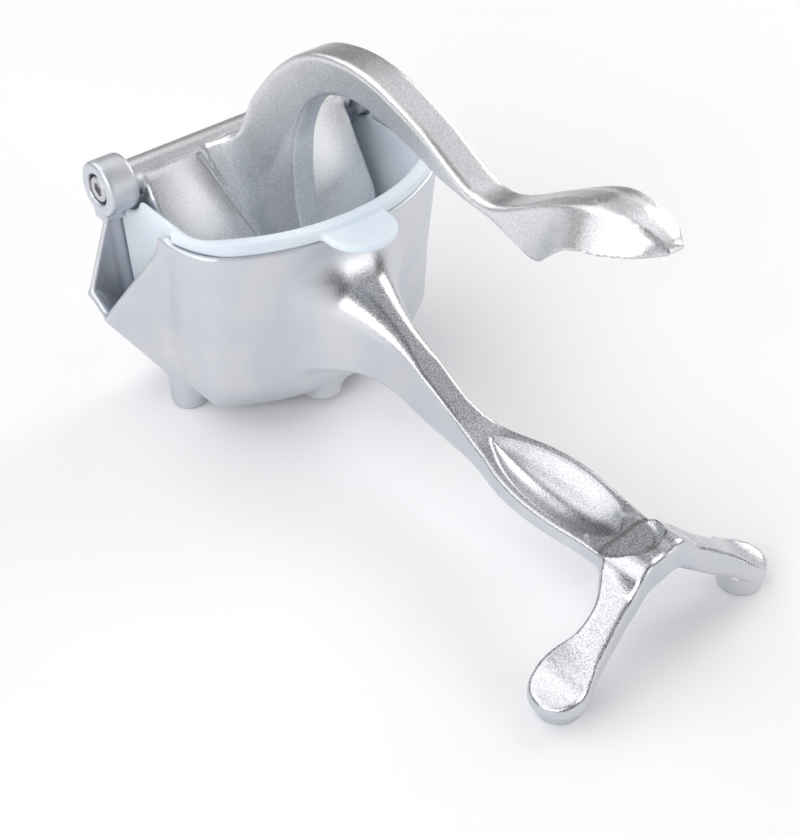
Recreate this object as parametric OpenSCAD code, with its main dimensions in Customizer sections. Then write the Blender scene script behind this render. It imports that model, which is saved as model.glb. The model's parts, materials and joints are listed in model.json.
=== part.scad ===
/* [Hopper] */
// Length of the hopper at its rim, from its flat back to its round front
hopper_length = 67; // [60:0.5:80]
// Width of the hopper at its rim
hopper_width = 97; // [88:0.5:110]
// Height of the rim above the table
rim_height = 72.5; // [66:0.5:88]
// Height of the hopper's underside above the table
hopper_clearance = 4; // [2:0.5:8]
// Thickness of the cast wall
wall = 3; // [2.5:0.1:4]
// Inward slope of the cast walls in degrees
draft = 3; // [0:0.5:5]
// Radius of the round lower edge
edge_radius = 16; // [8:1:20]

/* [Spout] */
// How far the pouring lip stands out from the side wall
spout_reach = 13; // [8:0.5:18]
// Width of the lip along the wall
lip_width = 14; // [10:0.5:20]
// Width of the notch in the rim
notch_width = 33; // [24:0.5:38]
// Height of the lip above the table
lip_height = 36; // [30:0.5:46]

/* [Handle and feet] */
// Distance from the flat back to the middle of the front feet
handle_reach = 204.5; // [190:0.5:240]
// Widest part of the handle
handle_width = 31; // [24:0.5:36]
// Width of the handle's waist
waist_width = 9; // [8:0.5:14]
// Distance between the two front feet
foot_spread = 76; // [60:0.5:100]
// Radius of each front foot pad
pad_radius = 6.8; // [5:0.1:8]
// Radius of each peg foot under the hopper
peg_radius = 6.2; // [5:0.1:8]
// Distance between the two peg feet
peg_spread = 79; // [70:0.5:82]

/* [Hinge] */
// Height of the hinge axis above the rim
pivot_rise = 7.9; // [7:0.1:12]
// Distance from the flat back to the hinge axis
pivot_setback = 7.2; // [6:0.1:9]
// Outer radius of the two hinge ears
ear_radius = 9.1; // [8:0.1:11]
// Width of each ear along the axis
ear_width = 10.5; // [8:0.1:12]
// Gap between an ear and the lever's barrel
ear_gap = 0.3; // [0.2:0.05:0.6]
// Radius of the lever's barrel
barrel_radius = 5.6; // [5:0.1:6.5]
// Radius of the pivot screw's plain shank
screw_radius = 2.5; // [2:0.1:3]
// Radial running clearance of the shank in its ear
pivot_clearance = 0.05; // [0.02:0.01:0.1]
// Radius of the screw's head
screw_head_radius = 4.25; // [3.5:0.05:5]
// Height of the screw's head
screw_head_height = 5; // [3:0.1:6]
// Depth of the screw thread in the barrel
thread_depth = 12; // [8:1:20]
// Radius of the recess for the screw's head
recess_radius = 5.3; // [4.5:0.1:6]

/* [Press lever] */
// Slope of the press plate below horizontal in degrees
plate_angle = 58; // [50:1:65]
// Thickness of the press plate
plate_thickness = 5; // [3:0.1:5.4]
// Gap between the sweep of the plate's edge and the strainer
plate_gap = 2; // [1:0.1:4]
// Side gap between the plate and the strainer
plate_side_gap = 3.4; // [1:0.1:6]
// Width of the lever arm
arm_width = 12.5; // [9:0.5:16]
// Width of the lever's thumb grip
grip_width = 22; // [18:0.5:28]

/* [Strainer] */
// Thickness of the strainer's wall
strainer_wall = 1.6; // [1.2:0.1:2.4]
// Gap between the strainer and the hopper
strainer_gap = 0.3; // [0.2:0.05:0.8]
// Height of the strainer's lip above the rim
strainer_lip = 4.3; // [2:0.1:6]
// Distance from the hopper's outer edge in to the lip's edge
lip_inset = 1.5; // [0.5:0.1:3]
// Diameter of each juice hole
juice_hole = 3; // [2:0.1:4]
// Distance between juice holes
hole_pitch = 7; // [6:0.5:10]
// Length of the lifting tab beyond the lip
tab_length = 17; // [10:0.5:20]
// Width of the lifting tab
tab_width = 24; // [16:0.5:28]

/* [Hidden] */
$fn = 96;

// Places along the length and height that follow from the sizes above
corner_radius = 8;
arc_setback = 5.5;
pivot_height = rim_height + pivot_rise;
ear_bite = 4.7;
ear_inner = hopper_width / 2 - ear_bite;
ear_outer = ear_inner + ear_width;
strainer_outer_inset = wall + strainer_gap;
strainer_inner_inset = strainer_outer_inset + strainer_wall;
cup_front = hopper_length - strainer_inner_inset;
sweep_radius = cup_front - pivot_setback;
floor_play = 1;
floor_radius = sweep_radius + floor_play;
lip_side = hopper_width / 2 + spout_reach;
leg_line = handle_reach - 1;
leg_reach = 8.6;
sole_height = 3.5;
blade_height = 60;
peg_setback = 25.5;
handle_end = 0.985;
handle_root = -0.03;
junction_half = 10.5;
grip_top = 29.3;
dimple_reach = 26.7;
dimple_half = 10.2;
dimple_depth = 4.5;
lip_wall = 2.5;
spout_root = 8;
spout_inset = 2.5;
thread_bite = 0.05;
head_play = 0.3;
recess_depth = screw_head_height + 1.6;
post_drop = 9;
socket_depth = 2.8;
socket_radius = 2.3;
ear_front = pivot_setback + ear_radius + 1;
back_drop = 2;
collar_depth = 14;
beyond = 1;

// The part stands with the middle of its bounding box over the origin
foot_end_radius = pad_radius + 1.2;
low_x = pivot_setback - ear_radius;
high_x = handle_reach + foot_end_radius;
low_y = -lip_side;
high_y = ear_outer;
place = [-(low_x + high_x) / 2, -(low_y + high_y) / 2, 0];

module placed() {
    translate(place) children();
}

module at_hinge() {
    translate([pivot_setback, 0, pivot_height]) children();
}

// Both sides of the middle plane: side 1 is far from the spout and side -1 is the spout's side
module both_sides() {
    for (side = [-1, 1]) scale([1, side, 1]) children();
}

// Points on a handle outline, given as [distance, value] pairs from the hopper's front
handle_start = hopper_length - 6;
handle_span = handle_reach - handle_start;
function along(share) = handle_start + share * handle_span;

// Plan of the hopper: flat back, straight sides and an arc at the front, drawn inset by d,
// with its flat back set in by back
module plan(d, back) {
    r = max(corner_radius - d / 2, 1);
    half = hopper_width / 2 - d;
    intersection() {
        offset(r = r) offset(delta = -r) intersection() {
            translate([-arc_setback, 0]) circle(hopper_length + arc_setback - d);
            translate([-hopper_length, -half]) square([2 * hopper_length, 2 * half]);
        }
        translate([back, -half]) square([hopper_length, 2 * half]);
    }
}

// A cup on that plan with a round lower edge, an upright back and tapered sides and front
module tapered(d, bottom, top, edge) {
    lean = tan(draft);
    low_inset = d + (rim_height - bottom - edge) * lean;
    hull() {
        translate([0, 0, top - 0.01])
            linear_extrude(0.01) plan(d + (rim_height - top) * lean, d, $fn = 48);
        for (a = [0:22.5:90]) {
            round_in = edge * (1 - cos(a));
            translate([0, 0, bottom + edge * (1 - sin(a))])
                linear_extrude(0.01) plan(low_inset + round_in, d + round_in, $fn = 48);
        }
    }
}

// The six corners of the spout: two on the rim, two on the lip and two at its root
function spout_corners(t) = [
    [t, -(hopper_width / 2 - spout_inset), rim_height - t],
    [t + notch_width, -(hopper_width / 2 - spout_inset), rim_height - t],
    [t, -(lip_side - t - spout_inset), lip_height + t + 2],
    [t + lip_width - 1, -(lip_side - t), lip_height + t],
    [t, -(hopper_width / 2 - 2 * spout_inset), hopper_clearance + spout_root],
    [2 * lip_width - 2, -(hopper_width / 2 - 2 * spout_inset), hopper_clearance + spout_root]
];

module spout_wall(corners) {
    points = spout_corners(lip_wall / 2);
    hull() for (i = corners) translate(points[i]) sphere(lip_wall / 2, $fn = 16);
}

// The open channel inside the spout: near faces on the cavity side, far faces past the mouth
module spout_channel() {
    inner_y = -(hopper_width / 2 - wall - 4);
    outer_y = -(lip_side + 6);
    right = lip_wall + notch_width - 1;
    low_right = lip_width - lip_wall - 4;
    keel_in = hopper_clearance + 20;
    keel_out = lip_height + 13;
    over = rim_height + 6;
    polyhedron(
        points = [
            [lip_wall, inner_y, keel_in], [keel_in, inner_y, keel_in],
            [right, inner_y, over], [lip_wall, inner_y, over],
            [lip_wall, outer_y, keel_out], [low_right, outer_y, keel_out],
            [right, outer_y, over], [lip_wall, outer_y, over]
        ],
        faces = [[0, 1, 2], [0, 2, 3], [4, 6, 5], [4, 7, 6], [0, 4, 5], [0, 5, 1],
                 [1, 5, 6], [1, 6, 2], [2, 6, 7], [2, 7, 3], [3, 7, 4], [3, 4, 0]]
    );
}

// Side view of the handle, as distance and height
module handle_side() {
    polygon([
        [along(handle_root), rim_height - 6], [along(0.06), rim_height - 8],
        [along(0.085), 60], [along(0.11), 55], [along(0.16), 50.7], [along(0.23), 45.2],
        [along(0.335), 36.9], [along(0.405), 32.2], [along(0.475), 29.6], [along(0.62), 29.4],
        [along(0.78), 29.2], [along(0.9), 30.4], [along(0.96), 32.5], [along(handle_end), 35],
        [along(handle_end), 25.5], [along(0.9), 23.5], [along(0.62), 22], [along(0.475), 21.5],
        [along(0.405), 21.5], [along(0.335), 22.5], [along(0.23), 26.5], [along(0.15), 28.5],
        [along(0.1), 27.5], [along(handle_root), 22]
    ]);
}

// Half of the handle's outline seen from above
handle_half = [
    [along(handle_root), 17], [along(0.05), 16.5], [along(0.085), 12.5], [along(0.13), 9.3],
    [along(0.2), 6.2], [along(0.3), waist_width / 2 + 0.3], [along(0.37), waist_width / 2],
    [along(0.44), waist_width / 2 + 1], [along(0.52), handle_width / 2 - 6],
    [along(0.6), handle_width / 2 - 1.6], [along(0.68), handle_width / 2],
    [along(0.77), handle_width / 2 - 1], [along(0.86), handle_width / 2 - 3.2],
    [along(0.93), 10.8], [along(handle_end), junction_half]
];

module mirrored_plan(half) {
    turned = [for (i = [len(half) - 1:-1:0]) [half[i][0], -half[i][1]]];
    polygon(concat(half, turned));
}

// Leaf-shaped dimple in the handle's top, cut by a pointed spindle that lies above it
module handle_dimple() {
    radius = (pow(dimple_half, 2) + pow(dimple_depth, 2)) / (2 * dimple_depth);
    bend = (pow(dimple_reach, 2) + pow(dimple_depth, 2)) / (2 * dimple_depth);
    length = 2 * sqrt(pow(bend, 2) - pow(bend - radius, 2));
    translate([along(0.68), 0, grip_top - dimple_depth + radius]) spindle(length, radius);
}

// A spindle with pointed ends, lying along the length
module spindle(length, radius) {
    bend = (length * length / 4 + radius * radius) / (2 * radius);
    rotate([0, 90, 0]) rotate_extrude() intersection() {
        translate([radius - bend, 0]) circle(bend);
        translate([0, -length / 2]) square([radius, length]);
    }
}

// One front leg: a blade that runs sideways and drops to its round foot
module leg() {
    foot_y = foot_spread / 2;
    intersection() {
        translate([0, 0, -beyond]) linear_extrude(blade_height) union() {
            polygon([
                [leg_line - 13, 0], [leg_line - 12.5, junction_half], [leg_line - 5.5, 17.5],
                [leg_line - 3.6, foot_y - 13], [leg_line - 5, foot_y - 6], [leg_line - 6.8, foot_y],
                [leg_line + leg_reach, foot_y], [leg_line + 6.2, foot_y - 7],
                [leg_line + 4, foot_y - 13], [leg_line + 2.2, foot_y - 24],
                [leg_line + 1.2, junction_half], [leg_line + 1.2, 0]
            ]);
            translate([handle_reach, foot_y]) circle(foot_end_radius);
        }
        rotate([90, 0, 90]) linear_extrude(handle_reach + 30) polygon([
            [0, 33.5], [junction_half, 33.5], [14, 29], [foot_y - 16, 23], [foot_y - 9, 18],
            [foot_y - 2, 12], [foot_y + 4, 9], [foot_y + 9, 7], [foot_y + 9, sole_height],
            [foot_y - 1, sole_height], [foot_y - 8, 9], [foot_y - 18, 14.5], [foot_y - 26, 20.5],
            [8, 24.5], [0, 24.5]
        ]);
    }
    translate([handle_reach, foot_y, 0]) cylinder(r = pad_radius, h = 2 * sole_height);
}

module ear() {
    translate([pivot_setback, ear_outer, pivot_height]) rotate([90, 0, 0])
        cylinder(r = ear_radius, h = ear_width);
    // Post that carries the ear down into the rim corner, outside the strainer
    translate([0, hopper_width / 2 - wall, rim_height - post_drop])
        cube([pivot_setback + 2, ear_outer - hopper_width / 2 + wall, pivot_rise + post_drop]);
}

module ear_bores() {
    translate([pivot_setback, ear_outer + beyond, pivot_height]) rotate([90, 0, 0]) {
        cylinder(r = recess_radius, h = recess_depth);
        cylinder(r = screw_radius + pivot_clearance, h = ear_width + 2 * beyond);
    }
}

module peg() {
    translate([peg_setback, peg_spread / 2, 0])
        cylinder(r1 = peg_radius, r2 = peg_radius + 0.8, h = hopper_clearance + edge_radius);
}

// Small round lug under the front of the hopper
module front_lug() {
    translate([hopper_length - 12, -4, hopper_clearance - 1.5]) cylinder(r = 5, h = 8);
}

module body_casting() {
    cavity_floor = hopper_clearance + wall;
    extrusion = 60;
    color("gainsboro") placed() difference() {
        union() {
            difference() {
                union() {
                    tapered(0, hopper_clearance, rim_height, edge_radius);
                    both_sides() peg();
                    intersection() {
                        rotate([90, 0, 0]) translate([0, 0, -extrusion / 2])
                            linear_extrude(extrusion) handle_side();
                        linear_extrude(rim_height) mirrored_plan(handle_half);
                    }
                    spout_wall([0, 2, 4]);
                    spout_wall([1, 3, 5]);
                    spout_wall([2, 3, 4, 5]);
                    front_lug();
                }
                tapered(wall, cavity_floor, rim_height + 0.1, edge_radius - wall);
                spout_channel();
            }
            both_sides() ear();
            both_sides() leg();
        }
        both_sides() ear_bores();
        handle_dimple();
    }
}

// Outline of the press plate in its own plane, measured out from the hinge axis
module plate_outline() {
    half = hopper_width / 2 - strainer_inner_inset - plate_side_gap;
    reach = sweep_radius - plate_gap;
    intersection() {
        translate([-pivot_setback, 0]) circle(reach + pivot_setback);
        translate([0, -half]) square([reach, 2 * half]);
    }
}

// Side view of the neck, arch, arm and grip, as distance and height from the hinge axis
module lever_side() {
    polygon([
        [5.5, 0.5], [12.5, 10], [20, 23], [28.5, 33.5], [35.5, 40.5], [43.5, 46.5], [51.5, 50],
        [62, 52.5], [72, 53], [83, 51], [99, 46], [109, 41], [118, 36.5], [124, 36],
        [129.5, 37], [136.5, 40.5], [144.5, 45.5], [153.5, 50.5], [162.5, 54], [170, 54.5],
        [177, 53.5], [182, 52], [185.5, 49], [185, 47], [180, 46.5], [172, 45.5], [164, 44.5],
        [157, 42.5], [150, 36], [143, 28.5], [139, 26.5], [134, 29], [122, 32], [111, 33],
        [103, 34], [88, 37.5], [75, 40], [68, 41], [61, 40], [56, 38.5], [51, 36], [46, 32],
        [42, 27.5], [37, 19.5], [34, 14], [31.5, 3], [30, -9], [33, -30], [22, -22]
    ]);
}

// Half of the lever's outline seen from above, from the hinge axis outwards
lever_half = [
    [2, arm_width / 2 + 4.5], [16, arm_width / 2 + 2.5], [30, arm_width / 2 + 0.5],
    [70, arm_width / 2], [118, arm_width / 2], [130, arm_width / 2 + 0.5],
    [142, grip_width / 2 - 2.5], [152, grip_width / 2], [168, grip_width / 2],
    [178, grip_width / 2 - 2], [184, grip_width / 2 - 6], [186, 2]
];

module press_lever() {
    barrel_end = ear_inner - ear_gap;
    rib_height = 13;
    rib_length = 34;
    extrusion = 60;
    reach_down = 60;
    reach_up = 80;
    color("silver") placed() at_hinge() difference() {
        union() {
            rotate([90, 0, 0]) translate([0, 0, -barrel_end])
                cylinder(r = barrel_radius, h = 2 * barrel_end);
            rotate([0, plate_angle, 0]) translate([0, 0, barrel_radius - plate_thickness])
                linear_extrude(plate_thickness) plate_outline();
            intersection() {
                rotate([90, 0, 0]) translate([0, 0, -extrusion / 2])
                    linear_extrude(extrusion) lever_side();
                translate([0, 0, -reach_down])
                    linear_extrude(reach_down + reach_up) mirrored_plan(lever_half);
            }
            // Rib that spreads the neck onto the plate
            rotate([0, plate_angle, 0]) translate([6, 0, barrel_radius - 1])
                rotate([0, 90, 0]) linear_extrude(rib_length) polygon([
                    [0, -arm_width / 2 - 9], [-4, -arm_width / 2 - 5], [-rib_height, -arm_width / 2],
                    [-rib_height, arm_width / 2], [-4, arm_width / 2 + 5], [0, arm_width / 2 + 9]
                ]);
        }
        both_sides() translate([0, barrel_end + beyond, 0]) rotate([90, 0, 0])
            cylinder(r = screw_radius - thread_bite, h = thread_depth + 2.5);
        // Hollow under the thumb grip
        translate([166, 0, 43.5]) spindle(34, 6.5);
    }
}

// Strainer space inside the hopper, drawn inset by d, with a floor that follows the sweep
module strainer_space(d, radius, top) {
    intersection() {
        tapered(d, hopper_clearance + d, top, edge_radius - d);
        union() {
            translate([pivot_setback, hopper_width, pivot_height]) rotate([90, 0, 0])
                cylinder(r = radius, h = 2 * hopper_width);
            translate([-beyond, -hopper_width, pivot_height - radius])
                cube([pivot_setback + beyond, 2 * hopper_width, radius]);
            translate([-beyond, -hopper_width, pivot_height - collar_depth])
                cube([hopper_length + 2 * beyond, 2 * hopper_width, 3 * collar_depth]);
        }
    }
}

module juice_holes() {
    rows_each_side = 5;
    side_margin = 14;
    for (x = [pivot_setback + 4:hole_pitch:cup_front - 6], y = [-rows_each_side:rows_each_side])
        if (abs(y) * hole_pitch < hopper_width / 2 - side_margin - x / 6)
            translate([x, y * hole_pitch, hopper_clearance])
                cylinder(d = juice_hole, h = pivot_height - 30, $fn = 24);
}

module strainer_basket() {
    rim_top = rim_height + strainer_lip;
    back_top = rim_height - back_drop;
    tab_root = 10;
    tab_centre = hopper_length - lip_inset - tab_width / 2 + tab_length;
    color("lavender") placed() difference() {
        union() {
            strainer_space(strainer_outer_inset, floor_radius + strainer_wall, rim_top);
            translate([0, 0, rim_height]) linear_extrude(strainer_lip) plan(lip_inset, ear_front);
            translate([0, 0, rim_height]) linear_extrude(strainer_lip - 1) intersection() {
                translate([tab_centre, 0]) circle(tab_width / 2);
                translate([hopper_length - tab_root, -tab_width / 2])
                    square([tab_root + tab_length, tab_width]);
            }
            translate([hopper_length - tab_root, -tab_width / 2, rim_height])
                cube([tab_centre - hopper_length + tab_root, tab_width, strainer_lip - 1]);
        }
        strainer_space(strainer_inner_inset, floor_radius, rim_top + beyond);
        // The back and the hinge corners stay below the ears and the barrel
        translate([-beyond, -hopper_width, back_top])
            cube([ear_front + beyond, 2 * hopper_width, 2 * collar_depth]);
        // No lip across the spout's notch
        translate([0, -hopper_width / 2 - beyond, rim_height - 0.01])
            cube([notch_width + 4, beyond + strainer_outer_inset, 2 * collar_depth]);
        juice_holes();
    }
}

// A screw for the far ear: the head sits in the recess and the shank reaches into the barrel
module pivot_screw() {
    head_seat = ear_outer + beyond - recess_depth + head_play;
    shank = head_seat - ear_inner + ear_gap + thread_depth;
    color("darkgray") at_hinge() translate([0, head_seat, 0]) rotate([-90, 0, 0]) difference() {
        union() {
            cylinder(r = screw_head_radius, h = screw_head_height);
            translate([0, 0, -shank]) cylinder(r = screw_radius, h = shank + beyond);
        }
        translate([0, 0, screw_head_height - socket_depth])
            cylinder(r = socket_radius, h = socket_depth + beyond, $fn = 6);
    }
}

module pivot_screw_far() {
    placed() pivot_screw();
}

module pivot_screw_near() {
    placed() scale([1, -1, 1]) pivot_screw();
}

body_casting();
press_lever();
strainer_basket();
pivot_screw_near();
pivot_screw_far();
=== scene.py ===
"""Hand citrus press in cast metal, with a plastic strainer and steel screws.

Each piece is a surface drawn from distance fields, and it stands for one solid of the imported
frame. Piece shapes are in millimetres, and the studio is in metres.
"""

import json
import math

import bpy
import numpy as np
import openvdb
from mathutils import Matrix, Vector


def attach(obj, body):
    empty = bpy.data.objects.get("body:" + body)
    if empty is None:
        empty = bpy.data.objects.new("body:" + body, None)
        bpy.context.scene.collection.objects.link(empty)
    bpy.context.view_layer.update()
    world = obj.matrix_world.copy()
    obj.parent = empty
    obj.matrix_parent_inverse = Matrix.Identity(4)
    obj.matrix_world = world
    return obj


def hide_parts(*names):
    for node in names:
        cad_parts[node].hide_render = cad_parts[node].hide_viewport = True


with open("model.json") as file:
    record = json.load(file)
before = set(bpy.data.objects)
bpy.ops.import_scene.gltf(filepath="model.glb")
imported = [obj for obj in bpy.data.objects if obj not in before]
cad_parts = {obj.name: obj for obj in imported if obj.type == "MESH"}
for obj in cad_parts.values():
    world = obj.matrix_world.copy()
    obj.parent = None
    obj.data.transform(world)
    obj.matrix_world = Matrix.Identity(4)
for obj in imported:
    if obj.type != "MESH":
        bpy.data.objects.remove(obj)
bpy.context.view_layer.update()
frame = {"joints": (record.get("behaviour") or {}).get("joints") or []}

# Shapes are written from the hopper's flat back, its middle plane and the table
MM = 0.001
# Hopper: size at the rim, height of the rim and the underside, wall, lower edge and taper
LENGTH, WIDTH, RIM, BASE = 67, 97, 72.5, 4
WALL, CUP_EDGE, LEAN = 3, 16, math.tan(math.radians(3))
# Its round front is an arc about a point behind the back and a little to the far side
ARC, ARC_BACK, MIDDLE = 73, 5.5, 1.9
# Hinge axis, its ears and the screws in them
SETBACK, PIVOT = 7.2, 80.4
EAR, EAR_IN, EAR_OUT, EAR_FRONT = 9.1, 43.8, 54.3, 17.3
RECESS, RECESS_FLOOR, SHANK, PLAY = 5.3, 48.7, 2.5, 0.05
HEAD, HEAD_LOW, HEAD_TOP = 4.25, 49, 54
# Lever's barrel and press plate, and the plate's slope
BARREL, BARREL_END, PLATE_REACH, PLATE_HALF = 5.6, 43.5, 60.1, 40.2
SLOPE = math.radians(58)
# Strainer: inset of its two faces from the hopper's outside, top of its lip, and its holes
CUP_OUTSIDE, CUP_INSIDE, LIP_TOP = 3.3, 4.9, 76.8
HOLE, PITCH = 1.5, 7
# Distance of each front foot from the middle plane
FOOT_SIDE = 38
hinge = Vector(frame["joints"][0]["pos_m"])
SHIFT = np.array(hinge) / MM - (SETBACK, 0, PIVOT)


# Distance fields: negative inside, positive outside
def union(a, b, r):
    """Both shapes, with a concave fillet of radius r between them."""
    return np.maximum(r, np.minimum(a, b)) - np.hypot(
        np.maximum(r - a, 0), np.maximum(r - b, 0)
    )


def common(a, b, r):
    """What two shapes share, with its edge rounded to radius r."""
    return -union(-a, -b, r)


def carve(a, b, r):
    """Shape a without shape b, with the cut's edge rounded to radius r."""
    return common(a, -b, r)


class Curve:
    """A smooth function through a few points, each a place and a value."""

    def __init__(self, *points):
        at, value = np.array(points, float).T
        slope = np.gradient(value, at)
        self.at = np.linspace(at[0], at[-1], 600)
        i = np.clip(np.searchsorted(at, self.at) - 1, 0, len(at) - 2)
        span = at[i + 1] - at[i]
        t = (self.at - at[i]) / span
        self.value = (
            (2 * t**3 - 3 * t**2 + 1) * value[i]
            + (t**3 - 2 * t**2 + t) * span * slope[i]
            + (3 * t**2 - 2 * t**3) * value[i + 1]
            + (t**3 - t**2) * span * slope[i + 1]
        )
        self.flat = 1 / np.hypot(1, np.gradient(self.value, self.at))

    def __call__(self, x):
        return np.interp(x, self.at, self.value)

    def below(self, x, z):
        """Distance to the curve as a ceiling: negative below it."""
        return (z - self(x)) * np.interp(x, self.at, self.flat)


def smooth_line(points, closed, per_span=6):
    """Points of a Catmull-Rom curve through the given ones."""
    p = np.array(points, float)
    if closed:
        p = np.vstack([p[-1], p, p[:2]])
    else:
        p = np.vstack([2 * p[0] - p[1], p, 2 * p[-1] - p[-2]])
    t = np.linspace(0, 1, per_span, endpoint=False)[:, None]
    spans = [
        0.5
        * (
            2 * b
            + (c - a) * t
            + (2 * a - 5 * b + 4 * c - d) * t**2
            + (3 * b - a - 3 * c + d) * t**3
        )
        for a, b, c, d in zip(p[:-3], p[1:-2], p[2:-1], p[3:])
    ]
    return np.vstack(spans)


class Outline:
    """Distance to a smooth line in a plane, kept as a table. A closed line is negative inside."""

    def __init__(self, points, closed=True, step=0.5, margin=25):
        line = smooth_line(points, closed)
        self.low, self.step = line.min(0) - margin, step
        count = ((line.max(0) + margin - self.low) / step).astype(int) + 2
        u, w = (self.low[k] + step * np.arange(count[k]) for k in (0, 1))
        u, w = np.meshgrid(u, w, indexing="ij")
        far = np.full(u.shape, 1e9)
        inside = np.zeros(u.shape, bool)
        ends = np.roll(line, -1, 0) if closed else line[1:]
        for (au, aw), (bu, bw) in zip(line, ends):
            eu, ew = bu - au, bw - aw
            t = np.clip(((u - au) * eu + (w - aw) * ew) / (eu**2 + ew**2), 0, 1)
            far = np.minimum(far, (u - au - t * eu) ** 2 + (w - aw - t * ew) ** 2)
            if closed and aw != bw:
                inside ^= ((aw > w) != (bw > w)) & (u < au + (w - aw) * eu / ew)
        self.table = np.where(inside, -1, 1) * np.sqrt(far)

    def __call__(self, u, w):
        fu = np.clip((u - self.low[0]) / self.step, 0, self.table.shape[0] - 1.001)
        fw = np.clip((w - self.low[1]) / self.step, 0, self.table.shape[1] - 1.001)
        i, j = fu.astype(int), fw.astype(int)
        fu, fw = fu - i, fw - j
        t = self.table
        return (t[i, j] * (1 - fu) + t[i + 1, j] * fu) * (1 - fw) + (
            t[i, j + 1] * (1 - fu) + t[i + 1, j + 1] * fu
        ) * fw


def plate_between(p, a, b, c, radius):
    """Distance to the flat triangle a, b, c, thickened by radius."""
    a, b, c = (np.array(v, float) for v in (a, b, c))
    normal = np.cross(b - a, c - a)
    over = np.ones(len(p), bool)
    edge = np.full(len(p), 1e9)
    for start, end in ((a, b), (b, c), (c, a)):
        along, out = end - start, p - start
        over &= out @ np.cross(normal, along) >= 0
        t = np.clip(out @ along / (along @ along), 0, 1)[:, None]
        edge = np.minimum(edge, np.linalg.norm(out - t * along, axis=1))
    level = abs((p - a) @ normal) / np.linalg.norm(normal)
    return np.where(over, level, edge) - radius


def past_plane(p, a, b, c, inward):
    """Distance beyond the plane through a, b and c, on the side away from the point inward."""
    a, b, c = (np.array(v, float) for v in (a, b, c))
    normal = np.cross(b - a, c - a)
    normal /= np.linalg.norm(normal)
    if (np.array(inward, float) - a) @ normal > 0:
        normal = -normal
    return (p - a) @ normal


def between(v, low, high):
    """Distance outside the slab from low to high."""
    return abs(v - (low + high) / 2) - (high - low) / 2


def box(x, y, z, low, high, r):
    """A box from low to high with edges rounded to radius r."""
    d = None
    for v, lo, hi in zip((x, y, z), low, high):
        slab = between(v, lo, hi)
        d = slab if d is None else common(d, slab, r)
    return d


def to_far_side(y):
    """0 on the middle plane and the spout's side, 1 at the far wall."""
    return np.clip(y / 50, 0, 1)


def plan(x, y, corner=8):
    """The hopper's outline at its rim, seen from above, without its flat back."""
    front = np.hypot(x + ARC_BACK, y - MIDDLE) - ARC
    return common(front, abs(y - MIDDLE) - WIDTH / 2 - MIDDLE, corner)


def hopper_side(x, y, z, d, corner=1.5):
    """The hopper's tapered sides and upright back, drawn inset by d."""
    flare = 0.05 * to_far_side(y) * np.maximum(z - 40, 0)
    return common(plan(x, y) + (RIM - z) * LEAN - flare + d, d - x, corner)


# The spout's six corners, on the middle of its wall
SPOUT = dict(
    rim_back=(1.3, -46, 71.2),
    rim_front=(34.3, -46, 71.2),
    lip_back=(1.3, -57.8, 39.3),
    lip_front=(14.3, -59.9, 37.3),
    root_back=(1.3, -43.5, 12),
    root_front=(26, -43.5, 12),
)
SPOUT_INSIDE = (10, -48, 60)
SPOUT_HALF_WALL = 1.35

# The handle along its length: height of its top and underside, and half its width
handle_top = Curve(
    (56, 62), (66, 60), (75.5, 55), (83.5, 50.7), (93.5, 45.2), (108.5, 36.9), (118.5, 32.2),
    (128.5, 29.6), (140, 29.3), (159.5, 29.1), (175, 29.3), (185, 30.2), (193, 31), (206, 32.4),
)
handle_low = Curve(
    (56, 22), (70, 25.6), (82, 27), (94, 24.4), (109, 20.6), (119, 20), (129, 21),
    (150, 22.8), (175, 24), (190, 25), (206, 25.6),
)
handle_half = Curve(
    (56, 18), (66, 17), (73, 12.8), (80, 9.4), (90, 6.2), (104, 4.7), (114, 4.5), (124, 5.4),
    (135, 8), (146, 11.5), (158, 13.2), (170, 12.8), (180, 11.6), (188, 11), (196, 10.7),
    (206, 10.5),
)
# How far the handle's middle lies to the far side
sway = Curve(
    (0, 0), (56, 0), (75, 1.2), (104, 1.5), (130, 1.7), (160, 1.9), (178, 1.3), (194, 0), (220, 0)
)
# The leaf sunk into the handle: half its width and its depth
leaf_half = Curve(
    (131.8, 0.2), (134, 1.9), (138.4, 4.6), (147, 8.2), (157, 10.1), (165, 10.3), (173, 9.3),
    (180.5, 6.7), (184, 3.6), (185.6, 0.2),
)
leaf_depth = Curve(
    (128, 0.1), (134, 1.2), (146, 3.6), (160, 4.6), (172, 4.2), (181, 2.6), (188, 0.1)
)
# A leg from the middle plane out to its foot: heights, and where its back and front lie
leg_top = Curve(
    (0, 35), (9, 34.6), (11, 33.2), (14, 29.8), (19, 26.3), (25, 22.4), (30, 18.4), (35, 13.6),
    (39, 10.2), (43, 8.6), (48, 7.8),
)
leg_low = Curve(
    (0, 25), (8, 24.2), (12, 20.8), (20, 14.8), (30, 8.8), (36, 5.2), (41, 3.6), (48, 3.4)
)
leg_back = Curve(
    (0, 190.4), (10.5, 191.6), (15, 195.4), (19, 198.6), (25, 200.4), (30, 199.8), (35, 198),
    (39, 196.6),
)
leg_front = Curve(
    (0, 205.4), (10.5, 205.7), (14, 205.9), (22, 207.6), (29, 209.4), (35, 211.4), (39, 212.4)
)


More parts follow.
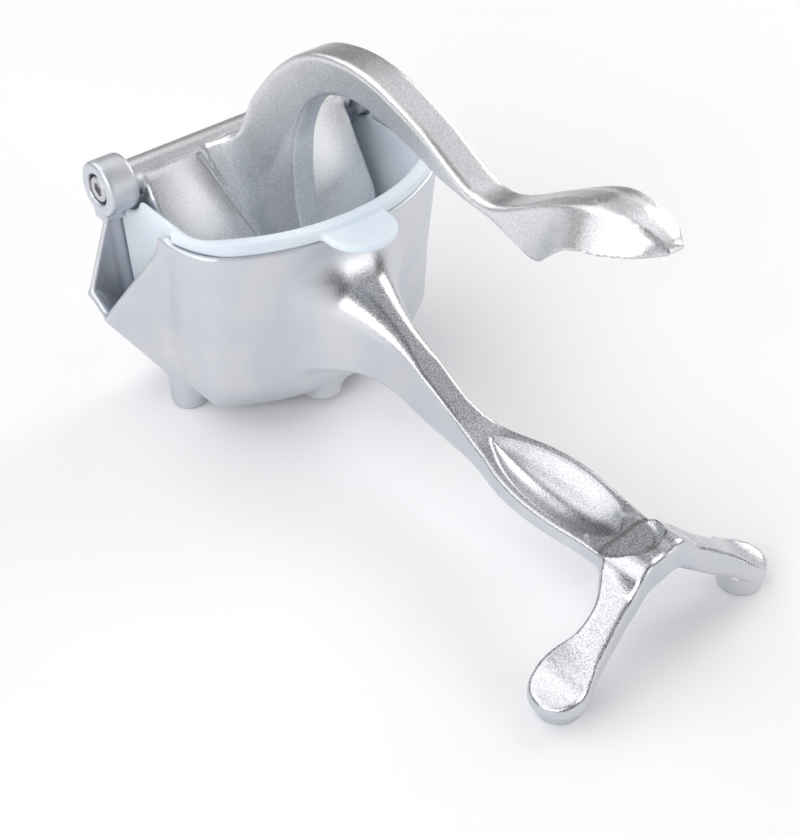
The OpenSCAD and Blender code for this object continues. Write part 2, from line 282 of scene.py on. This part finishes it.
def cup_with_pegs(x, y, z):
    """The hopper's outside, its two peg feet and the low lug beneath it."""
    cup = common(hopper_side(x, y, z, 0), BASE - z, CUP_EDGE)
    cup = common(cup, z - RIM, 0.9)
    peg_x, peg_y, peg_radius, peg_lean = 25.5, 39.5, 6.2, 0.04
    peg = np.hypot(x - peg_x, abs(y) - peg_y) - peg_radius - peg_lean * z
    peg = common(common(peg, -z, 0.9), z - 24, 1)
    solid = union(cup, peg, 3)
    lug_x, lug_y, lug_radius, lug_base = 53.5, -4, 6.8, 3.3
    lug = common(np.hypot(x - lug_x, y - lug_y) - lug_radius, lug_base - z, 1.2)
    return union(solid, common(lug, z - 12, 1), 2.5)


def handle_bar(x, z, off):
    """The fixed handle, round at its root and crisp along the rest; off is from its middle."""
    edge = np.interp(x, (64, 80, 104), (13, 7.5, 0.9))
    bar = common(handle_top.below(x, z), off - handle_half(x), edge)
    bar = common(bar, -handle_low.below(x, z), 1.2)
    return common(bar, between(x, 54, 202), 1)


def spout_walls(p):
    """The spout's back, front and two-part underside as thin plates."""
    s, r = SPOUT, SPOUT_HALF_WALL
    back = plate_between(p, s["rim_back"], s["lip_back"], s["root_back"], r)
    front = plate_between(p, s["rim_front"], s["lip_front"], s["root_front"], r)
    under = np.minimum(
        plate_between(p, s["lip_back"], s["lip_front"], s["root_front"], r),
        plate_between(p, s["lip_back"], s["root_front"], s["root_back"], r),
    )
    return union(union(back, under, 1), front, 1)


def spout_channel(p):
    """The open space between the spout's walls."""
    x, y, z = p.T
    s, inset = SPOUT, 1.3
    faces = (
        (s["rim_front"], s["lip_front"], s["root_front"]),
        (s["lip_back"], s["lip_front"], s["root_front"]),
        (s["lip_back"], s["root_front"], s["root_back"]),
    )
    channel = np.max([past_plane(p, *face, SPOUT_INSIDE) + inset for face in faces], 0)
    return common(common(channel, 2 * inset - x, 2), y + 40, 1)


def legs(x, y, z):
    """A plateau over the handle's end, which runs out sideways and drops to two round feet."""
    side = abs(y)
    set_back, wider = (np.interp(y, (-12, 12), pair) for pair in ((1.3, 2.6), (1.8, 0.4)))
    leg_x = x + set_back
    outline = between(leg_x, leg_back(side), leg_front(side) + wider)
    outline = common(outline, side - FOOT_SIDE, 1)
    outline = union(outline, np.hypot(leg_x - 204.9, side - FOOT_SIDE) - 8.7, 2)
    tilt = np.interp(side, (12, 15, 26, 36), (0.1, -0.16, -0.16, 0))
    leg = common(outline, leg_top.below(side, z - tilt * (leg_x - 203)), 1.5)
    leg = common(leg, -leg_low.below(side, z), 1.5)
    pad_x, pad_radius, pad_top = 203.8, 6.9, 7
    pad = common(np.hypot(x - pad_x, side - FOOT_SIDE) - pad_radius, -z, 0.8)
    return union(leg, common(pad, z - pad_top, 1), 0.6)


def leaf_dimple(x, z, off):
    """A pointed leaf sunk into the handle's top."""
    bowl = 1 - (off / np.maximum(leaf_half(x), 0.2)) ** 1.8
    above = (handle_top(x) - leaf_depth(x) * bowl - z) * 0.8
    leaf = np.maximum(above, between(x, 131.5, 185.9))
    return np.maximum(leaf, z - 40)


def ears(x, y, z):
    """The two hinge ears on their posts."""
    ear = np.hypot(x - SETBACK, z - PIVOT) - EAR
    ear = common(ear, between(abs(y), EAR_IN, EAR_OUT), 1.3)
    post = box(x, abs(y), z, (0, 45.5, 66.5), (7.5, EAR_OUT - 1.5, PIVOT), 1.5)
    return union(ear, post, 2)


def ear_bores(x, y, z):
    """Each ear's plain bore and the wide recess for the screw's head."""
    side, from_axis = abs(y), np.hypot(x - SETBACK, z - PIVOT)
    recess = np.maximum(from_axis - RECESS, RECESS_FLOOR - side)
    bore = np.minimum(recess, from_axis - SHANK - PLAY)
    return np.maximum(bore, EAR_IN - 3 - side)


def body_field(p):
    """The casting that stands on the table: hopper, spout, handle, legs and ears."""
    x, y, z = p.T
    off = abs(y - sway(x))
    solid = cup_with_pegs(x, y, z)
    solid = union(solid, handle_bar(x, z, off), np.interp(z, (38, 58), (5, 9)))
    solid = union(solid, spout_walls(p), 2)
    cavity = common(hopper_side(x, y, z, WALL), BASE + WALL - z, CUP_EDGE - WALL)
    solid = carve(solid, cavity, 0.9)
    solid = carve(solid, spout_channel(p), 0.9)

    solid = union(solid, legs(x, y, z), 2)
    tongue = common(np.hypot(x - 188, y) - 11.2, -handle_top.below(x, z), 2.4)
    solid = carve(solid, tongue, 0.7)
    solid = carve(solid, leaf_dimple(x, z, off), 0.45)

    solid = union(solid, ears(x, y, z), 2.4)
    swing = np.maximum(abs(y) - EAR_IN, np.hypot(x - SETBACK, z - PIVOT) - 9)
    solid = carve(solid, swing, 0.3)
    return carve(solid, ear_bores(x, y, z), 0.5)


# Lever: its side view about the hinge, and the outer edge of it on its own
LEVER_TOP = [
    (3, -2), (5.5, 2), (12.2, 10.4), (19.2, 23.6), (27.6, 34.3), (34.7, 41.4), (43, 47.5),
    (51.2, 51.4), (62, 53.7), (72, 53.9), (83, 52), (99, 46.6), (109, 41.3), (118, 36.9),
    (124, 36), (129.5, 37), (136.5, 40.5), (144.5, 45.5), (153.5, 50.5), (162.5, 54),
    (170, 54.5), (177, 53.8), (182, 52), (185.3, 49.4),
]
LEVER_LOW = [
    (184.8, 48), (180.5, 47.2), (175.4, 46.3), (170.8, 45.3), (165.3, 44.2), (161, 42.2),
    (156.5, 38.6), (151, 32.8), (148, 30), (145, 28.6), (141, 28), (135.5, 29.2), (129, 31.2),
    (122, 32), (111, 33), (103, 34), (88, 37.5), (75, 40), (68, 41), (61, 40), (56, 38.5),
    (51, 36), (46, 32), (42.4, 27.5), (38.6, 19.5), (37, 13), (36.2, 3), (37, -9), (40, -26),
    (28, -30), (12, -12),
]
lever_side = Outline(LEVER_TOP + LEVER_LOW)
lever_edge = Outline(LEVER_TOP, closed=False)
# Half the width of the lever's top, how fast its sides flare below that, and its sway
lever_half = Curve(
    (0, 8.6), (16, 7.6), (30, 6.7), (45, 6.4), (70, 6.3), (118, 6.1), (130, 6), (142, 6.1),
    (150, 6.6), (158, 7.2), (166, 7), (174, 6), (181, 4.8), (186.5, 1.8),
)
lever_flare = Curve(
    (0, -0.05), (20, -0.12), (40, -0.2), (110, -0.2), (128, -0.05), (142, 0), (149, 0.15),
    (157, 0.5), (166, 0.72), (175, 0.78), (181, 0.7), (186, 0.4),
)
lever_sway = Curve((-60, 0), (130, 0), (150, 0.6), (160, 1.4), (170, 2), (190, 2))


def press_plate(down, out, y):
    """The sloping plate, a little thicker along the middle of each wing, with the neck's root."""
    side = abs(y)
    swell = 4.6 + 1.7 * np.clip(1 - ((side - 28) / 14) ** 2, 0, 1)
    plate = common(np.hypot(down + SETBACK, y) - PLATE_REACH, side - PLATE_HALF, 4)
    plate = common(common(plate, out - swell, 1.3), 0.6 - out, 1)
    plate = common(plate, -down, 0.5)

    spread = 19.4 - 0.33 * (down + 1.7)
    root = (out - 3.9 - (spread - side) * 0.8) * 0.78
    root = common(common(root, -1 - down, 1.2), down - 50, 3)
    root = common(root, 1 - out, 1)
    groove = np.hypot(side - spread - 0.6, out - swell) - 0.8
    return plate, root, np.maximum(groove, between(down, 1, 39))


def lever_arm(u, y, w):
    """The arch, arm and flaring thumb grip, with the hollow under the grip."""
    depth = np.minimum(lever_edge(u, w), 16)
    off = y - lever_sway(u)
    flare = lever_flare(u) * np.interp(off, (-3, 3), (1, 0.6))
    flank = (abs(off) - lever_half(u) - flare * depth) / np.hypot(1, flare)
    crown = np.interp(u, (120, 150), (0, 0.02)) * np.minimum(abs(y), 6) ** 2
    bevel = np.interp(depth, (2, 8), (2.1, 1.2)) * np.interp(u, (125, 145), (1, 0.35))
    arm = common(np.maximum(lever_side(u, w), crown - depth), flank, bevel)
    hollow = np.maximum(3.2 - depth, flank + 2.8)
    hollow = common(np.maximum(hollow, 157 - u), u - 181, 3)
    return carve(arm, np.maximum(hollow, lever_side(u, w) - 8), 0.8)


def lever_field(p):
    """The swinging casting: barrel, press plate, arch and grip."""
    x, y, z = p.T
    u, w = x - SETBACK, z - PIVOT
    down = u * math.cos(SLOPE) - w * math.sin(SLOPE)
    out = u * math.sin(SLOPE) + w * math.cos(SLOPE)
    barrel = common(np.hypot(u, w) - BARREL, abs(y) - BARREL_END, 0.8)
    plate, root, groove = press_plate(down, out, y)
    solid = union(union(barrel, plate, 1), root, 0.6)
    solid = carve(solid, groove, 0.3)
    return union(solid, lever_arm(u, y, w), 4)


def strainer_wall(x, y, z, inset, reach, r):
    """A cup inset from the hopper, with a floor that follows the sweep of the lever's plate."""
    u, w = x - SETBACK, z - PIVOT
    sweep = np.hypot(np.maximum(u, 0), np.minimum(w, 0))
    return common(hopper_side(x, y, z, inset, 1), np.minimum(sweep - reach, -14 - w), r)


def strainer_rim(x, y, z, cup):
    """The cup with its lip and its round lifting tab."""
    edge = plan(x, y, 12) + 0.5 - 1.5 * to_far_side(y)
    lip = common(common(edge, EAR_FRONT - x, 3), between(z, RIM, LIP_TOP), 1)
    cup = union(cup, lip, 0.8)
    tab_x, tab_y, tab_radius = 69.4, 1, 12
    tab = common(np.hypot(np.maximum(x - tab_x, 0), y - tab_y) - tab_radius, 57 - x, 1)
    return union(cup, common(tab, between(z, RIM, LIP_TOP - 1.5), 1), 1)


def juice_holes(x, y, z):
    """Rows of round holes through the strainer's floor, fewer towards the round front."""
    first = SETBACK + 4
    near_x = first + PITCH * np.clip(np.round((x - first) / PITCH), 0, 6)
    near_y = PITCH * np.clip(np.round(y / PITCH), -5, 5)
    hole = np.maximum(np.hypot(x - near_x, y - near_y) - HOLE, z - 45)
    return np.maximum(hole, abs(near_y) - (WIDTH / 2 - 14 - near_x / 6))


def strainer_field(p):
    """The loose strainer cup that hangs in the hopper."""
    x, y, z = p.T
    u, w = x - SETBACK, z - PIVOT
    cup = common(strainer_wall(x, y, z, CUP_OUTSIDE, 57.5, 2), z - LIP_TOP, 0.6)
    cup = strainer_rim(x, y, z, cup)
    cup = carve(cup, strainer_wall(x, y, z, CUP_INSIDE, 55.9, 1.5), 0.6)
    # The corners by the ears are cut round, and the back stays under the barrel
    back = common(u, RIM - 2 - z, 1)
    corner = common(np.hypot(u, w) - EAR - 0.8, -u, 0.5)
    cup = carve(cup, union(back, corner, 0.1), 1.5)
    # No lip over the spout's notch
    notch = common(common(y + 45.2, x - 37, 2), RIM - 0.1 - z, 0.4)
    cup = carve(cup, notch, 0.5)
    return carve(cup, juice_holes(x, y, z), 0.4)


def screw_field(hand):
    """A socket-head screw in the ear on one side: hand is 1 for the far side."""

    def field(p):
        x, y, z = p.T
        out, r = hand * y, np.hypot(x - SETBACK, z - PIVOT)
        head = common(r - HEAD, between(out, HEAD_LOW, HEAD_TOP), 0.7)
        turn = np.arctan2(z - PIVOT, x - SETBACK)
        sector = (turn + math.pi / 6) % (math.pi / 3) - math.pi / 6
        socket = np.maximum(r * np.cos(sector) - 2, 51.4 - out)
        head = carve(head, socket, 0.2)
        shank = common(r - SHANK, between(out, 31.5, HEAD_LOW + 0.5), 0.4)
        return union(head, shank, 0.4)

    return field


def slope_of(field, p, reach=0.3):
    """The field's gradient at each point."""
    steps = np.eye(3) * reach
    return np.stack([field(p + s) - field(p - s) for s in steps], 1) / (2 * reach)


def cast(name, field, low, high, step):
    """A mesh of the field's surface inside the box from low to high, in the row frame."""
    # The field is worked out only in the blocks of cells that its surface can cross
    cell = 8
    low = np.array(low, float)
    blocks = np.ceil((np.array(high) - low) / (step * cell)).astype(int)
    places = np.stack(np.meshgrid(*map(np.arange, blocks), indexing="ij"), -1).reshape(-1, 3)
    middle = field(low + (places + 0.5) * cell * step - step / 2)
    dense = np.empty((blocks[0], cell, blocks[1], cell, blocks[2], cell), np.float32)
    dense[...] = np.sign(middle).reshape(*blocks)[:, None, :, None, :, None] * cell * step
    near = places[abs(middle) < 1.3 * cell * step]
    inner = np.stack(np.meshgrid(*[np.arange(cell)] * 3, indexing="ij"), -1).reshape(-1, 3)
    for some in np.array_split(near, len(near) // 300 + 1):
        at = low + (some[:, None] * cell + inner) * step
        i, j, k = some.T
        dense[i, :, j, :, k, :] = field(at.reshape(-1, 3)).reshape(-1, cell, cell, cell)
    grid = openvdb.FloatGrid(cell * step)
    grid.copyFromArray(dense.reshape(blocks * cell))
    points, quads = grid.convertToQuads(isovalue=0)
    points = low + points.astype(float) * step
    # The corners are then moved onto the exact surface
    for _ in range(2):
        rise = slope_of(field, points)
        shift = field(points) / np.maximum((rise**2).sum(1), 0.25)
        points -= np.clip(shift, -step, step)[:, None] * rise
    a, b, c = (points[quads[:, k]] for k in (0, 1, 2))
    if (np.cross(b - a, c - a) * slope_of(field, a)).sum() < 0:
        quads = quads[:, ::-1]
    mesh = bpy.data.meshes.new(name)
    mesh.from_pydata(((points + SHIFT) * MM).tolist(), [], quads.tolist())
    mesh.validate()
    mesh.shade_smooth()
    piece = bpy.data.objects.new(name, mesh)
    bpy.context.scene.collection.objects.link(piece)
    return piece


# Materials
class Nodes:
    """A new material's node tree, with short ways to add and join nodes."""

    def __init__(self, name):
        self.material = bpy.data.materials.new(name)
        self.material.use_nodes = True
        self.tree = self.material.node_tree
        self.shader = self.tree.nodes["Principled BSDF"]
        self.place = self.add("ShaderNodeTexCoord").outputs["Object"]

    def add(self, kind, **values):
        node = self.tree.nodes.new(kind)
        for key, value in values.items():
            if hasattr(node, key):
                setattr(node, key, value)
            else:
                node.inputs[key.replace("_", " ")].default_value = value
        return node

    def join(self, output, node, socket):
        self.tree.links.new(output, node.inputs[socket])
        return node

    def noise(self, size, detail=2, rough=0.5, stretch=None):
        """Noise whose spots are about size millimetres across."""
        node = self.add("ShaderNodeTexNoise", Scale=1 / (size * MM), Detail=detail, Roughness=rough)
        place = self.place
        if stretch:
            turn = self.join(place, self.add("ShaderNodeMapping"), "Vector")
            turn.inputs["Scale"].default_value = stretch
            place = turn.outputs["Vector"]
        return self.join(place, node, "Vector").outputs["Fac"]

    def ramp(self, value, low, high, to_low, to_high):
        """A value eased from one range into another."""
        node = self.add("ShaderNodeMapRange", interpolation_type="SMOOTHSTEP")
        self.join(value, node, "Value")
        limits = {"From Min": low, "From Max": high, "To Min": to_low, "To Max": to_high}
        for socket, number in limits.items():
            node.inputs[socket].default_value = number
        return node.outputs["Result"]

    def math(self, how, a, b):
        """Two values, sockets or numbers, joined by one sum."""
        node = self.add("ShaderNodeMath", operation=how)
        for k, v in enumerate((a, b)):
            if isinstance(v, (int, float)):
                node.inputs[k].default_value = v
            else:
                self.join(v, node, k)
        return node.outputs[0]

    def blend(self, share, low, high):
        """A colour between two, by share."""
        node = self.add("ShaderNodeMix", data_type="RGBA")
        self.join(share, node, 0)
        for k, colour in ((6, low), (7, high)):
            if isinstance(colour, tuple):
                node.inputs[k].default_value = (*colour, 1)
            else:
                self.join(colour, node, k)
        return node.outputs[2]

    def upward(self, low=0.35, high=0.75):
        """How far a surface faces up: 0 on the sides and below, 1 on top."""
        place = self.add("ShaderNodeTexCoord").outputs["Normal"]
        split = self.join(place, self.add("ShaderNodeSeparateXYZ"), "Vector")
        return self.ramp(split.outputs["Z"], low, high, 0, 1)

    def bump(self, height, distance, strength, under=None):
        """Relief about distance millimetres deep, over other relief if there is any."""
        node = self.add("ShaderNodeBump", Strength=strength, Distance=distance * MM)
        self.join(height, node, "Height")
        if under is not None:
            self.join(under, node, "Normal")
        return node.outputs["Normal"]


def hopper_finish():
    """Satin cast metal, which is bright and grainy on top of the handle and legs."""
    n = Nodes("hopper_aluminium")
    x = n.join(n.place, n.add("ShaderNodeSeparateXYZ"), "Vector").outputs["X"]
    edge = (LENGTH + SHIFT[0]) * MM
    handle = n.math("MULTIPLY", n.ramp(x, edge - 0.003, edge + 0.002, 0, 1), n.upward(0.15, 0.6))
    cloud, grain = n.noise(16, 3), n.noise(0.42, 2, 0.7)
    fine = n.noise(1.6, 3, 0.6)
    shade = n.blend(n.ramp(cloud, 0.35, 0.65, 0, 1), (0.65, 0.67, 0.72), (0.71, 0.72, 0.75))
    speck = n.blend(n.ramp(grain, 0.3, 0.75, 0, 1), (0.42, 0.43, 0.45), (0.80, 0.80, 0.82))
    colour = n.blend(handle, shade, speck)
    n.join(colour, n.shader, "Base Color")
    satin = n.ramp(cloud, 0.3, 0.7, 0.44, 0.54)
    polish = n.ramp(grain, 0.2, 0.8, 0.20, 0.34)
    rough = n.add("ShaderNodeMix", data_type="FLOAT")
    for socket, value in ((0, handle), (2, satin), (3, polish)):
        n.join(value, rough, socket)
    n.join(rough.outputs[0], n.shader, "Roughness")
    soft = n.bump(n.math("MULTIPLY", fine, n.math("SUBTRACT", 1.15, handle)), 0.05, 0.5)
    sharp = n.bump(n.math("MULTIPLY", grain, n.math("ADD", handle, 0.12)), 0.05, 0.8, soft)
    n.join(sharp, n.shader, "Normal")
    n.shader.inputs["Metallic"].default_value = 1
    return n.material


def lever_finish():
    """Bright metal with a fine sparkling grain, and painted light that makes the upward faces
    lighter than the sides.
    """
    n = Nodes("lever_aluminium")
    cloud, grain, fine = n.noise(20, 2), n.noise(0.45, 2, 0.75), n.noise(1.8, 3, 0.6)
    flank = n.blend(n.ramp(cloud, 0.35, 0.65, 0, 1), (0.58, 0.59, 0.62), (0.65, 0.66, 0.68))
    # Painted light: faces that look upward get a lighter grey than the cloudy sides
    painted_top_light = n.blend(n.upward(), flank, (0.64, 0.65, 0.67))
    colour = n.blend(n.ramp(grain, 0.35, 0.65, 0, 0.9), painted_top_light, (0.88, 0.88, 0.89))
    n.join(colour, n.shader, "Base Color")
    n.join(n.ramp(grain, 0.25, 0.75, 0.28, 0.46), n.shader, "Roughness")
    n.join(n.bump(grain, 0.06, 0.9, n.bump(fine, 0.06, 0.4)), n.shader, "Normal")
    n.shader.inputs["Metallic"].default_value = 1
    return n.material


def strainer_finish():
    """Milky pale blue plastic."""
    n = Nodes("strainer_plastic")
    cloud, fine = n.noise(24, 2), n.noise(1.2, 2)
    colour = n.blend(n.ramp(cloud, 0.3, 0.7, 0, 1), (0.70, 0.78, 0.87), (0.76, 0.83, 0.91))
    n.join(colour, n.shader, "Base Color")
    n.join(n.ramp(cloud, 0.3, 0.7, 0.30, 0.40), n.shader, "Roughness")
    n.join(n.bump(fine, 0.02, 0.3), n.shader, "Normal")
    n.shader.inputs["Subsurface Weight"].default_value = 0.3
    n.shader.inputs["Subsurface Radius"].default_value = (0.004, 0.005, 0.006)
    n.shader.inputs["Subsurface Scale"].default_value = 1
    n.shader.inputs["IOR"].default_value = 1.49
    return n.material


def screw_finish():
    """Dull steel with fine turning marks."""
    n = Nodes("screw_steel")
    turned = n.noise(0.5, 2, 0.5, (1, 6, 1))
    colour = n.blend(turned, (0.50, 0.51, 0.53), (0.66, 0.66, 0.67))
    n.join(colour, n.shader, "Base Color")
    n.join(n.ramp(turned, 0.3, 0.7, 0.28, 0.42), n.shader, "Roughness")
    n.join(n.bump(turned, 0.02, 0.4), n.shader, "Normal")
    n.shader.inputs["Metallic"].default_value = 1
    return n.material


# Pieces: name, field, box, grid step, finish, slot, body and the CAD node that each stands for
COARSE = 1
PIECES = [
    ("press_casting", body_field, (-3, -63.5, -1.5), (215.5, 56.5, 92), 0.72,
     hopper_finish, "hopper_aluminium", "base", "body_casting"),
    ("lever_casting", lever_field, (0, -45, 34), (195, 45, 137), 0.72,
     lever_finish, "lever_aluminium", "lever", "press_lever"),
    ("strainer_cup", strainer_field, (1, -49, 20), (85, 49, 79), 0.62,
     strainer_finish, "strainer_plastic", "base", "strainer_basket"),
    ("screw_near", screw_field(-1), (2, -55, 75), (13, -30, 86), 0.25,
     screw_finish, "screw_steel", "lever", "pivot_screw_near"),
    ("screw_far", screw_field(1), (2, 30, 75), (13, 55, 86), 0.25,
     screw_finish, "screw_steel", "lever", "pivot_screw_far"),
]
finishes = {}
for name, field, low, high, step, finish, slot, body, node in PIECES:
    piece = cast(name, field, low, high, step * COARSE)
    if slot not in finishes:
        finishes[slot] = finish()
    piece.data.materials.append(finishes[slot])
    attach(piece, body)
    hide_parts(node)
    print(name, len(piece.data.polygons), "faces")


# Studio: a pale floor, a soft room and soft boxes
def floor():
    """A pale disc under the press."""
    radius = 1.5
    mesh = bpy.data.meshes.new("floor")
    turns = np.linspace(0, 2 * math.pi, 96, endpoint=False)
    rim = [(radius * math.cos(t), radius * math.sin(t), 0) for t in turns]
    mesh.from_pydata(rim, [], [tuple(range(len(rim)))])
    ground = bpy.data.objects.new("floor", mesh)
    bpy.context.scene.collection.objects.link(ground)
    n = Nodes("floor_paint")
    n.shader.inputs["Base Color"].default_value = (0.93, 0.93, 0.935, 1)
    n.shader.inputs["Roughness"].default_value = 0.7
    mesh.materials.append(n.material)


def soft_box(name, direction, distance, size, power):
    """A wide soft light, distance metres off along direction and facing the press."""
    light = bpy.data.lights.new(name, "AREA")
    light.shape, light.size, light.size_y, light.energy = "RECTANGLE", *size, power
    box_light = bpy.data.objects.new(name, light)
    way = Vector(direction).normalized()
    box_light.location = way * distance + Vector((0, 0, 0.05))
    box_light.rotation_euler = way.to_track_quat("Z", "Y").to_euler()
    bpy.context.scene.collection.objects.link(box_light)


def room():
    """A grey room that is darker overhead and low behind, so that metal shows its shape."""
    world = bpy.data.worlds.new("room")
    bpy.context.scene.world = world
    world.use_nodes = True
    tree = world.node_tree
    nodes, link = tree.nodes, tree.links.new
    place = nodes.new("ShaderNodeTexCoord")
    split = nodes.new("ShaderNodeSeparateXYZ")
    link(place.outputs["Generated"], split.inputs[0])
    ramp = nodes.new("ShaderNodeValToRGB")
    ramp.color_ramp.elements[0].position = 0.0
    ramp.color_ramp.elements[0].color = (0.9, 0.9, 0.9, 1)
    ramp.color_ramp.elements[1].position = 1.0
    ramp.color_ramp.elements[1].color = (0.08, 0.08, 0.085, 1)
    greys = ((0.03, 0.2), (0.3, 0.1), (0.5, 0.16), (0.66, 0.5), (0.82, 0.5), (0.94, 0.14))
    for spot, grey in greys:
        stop = ramp.color_ramp.elements.new(spot)
        stop.color = (grey, grey, grey * 1.02, 1)
    link(split.outputs["Z"], ramp.inputs[0])
    # The camera sees a plain white backdrop instead
    seen = nodes.new("ShaderNodeLightPath")
    mix = nodes.new("ShaderNodeMix")
    mix.data_type = "RGBA"
    link(seen.outputs["Is Camera Ray"], mix.inputs[0])
    link(ramp.outputs[0], mix.inputs[6])
    mix.inputs[7].default_value = (0.95, 0.95, 0.955, 1)
    link(mix.outputs[2], nodes["Background"].inputs["Color"])
    nodes["Background"].inputs["Strength"].default_value = 1.0


floor()
room()
soft_box("key_left", (-0.5, -0.25, 0.83), 1.2, (1.5, 1.5), 9.5)
soft_box("fill_right", (-0.07, 0.88, 0.48), 1.3, (1.0, 0.7), 6.5)
soft_box("fill_front", (0.22, -0.85, 0.45), 1.3, (1.1, 0.7), 8.5)
soft_box("fill_low", (0.85, 0.42, 0.3), 1.3, (0.7, 0.6), 3)

camera = bpy.data.objects.new("camera", bpy.data.cameras.new("camera"))
camera.data.sensor_fit = "HORIZONTAL"
camera.data.sensor_width, camera.data.lens = 36, 72.6
camera.data.clip_start = 0.01
camera.location = (0.2944, -0.2561, 0.350)
camera.rotation_euler = (math.radians(50), 0, math.radians(50))
bpy.context.scene.collection.objects.link(camera)
bpy.context.scene.camera = camera
bpy.context.scene.view_settings.view_transform = "Standard"
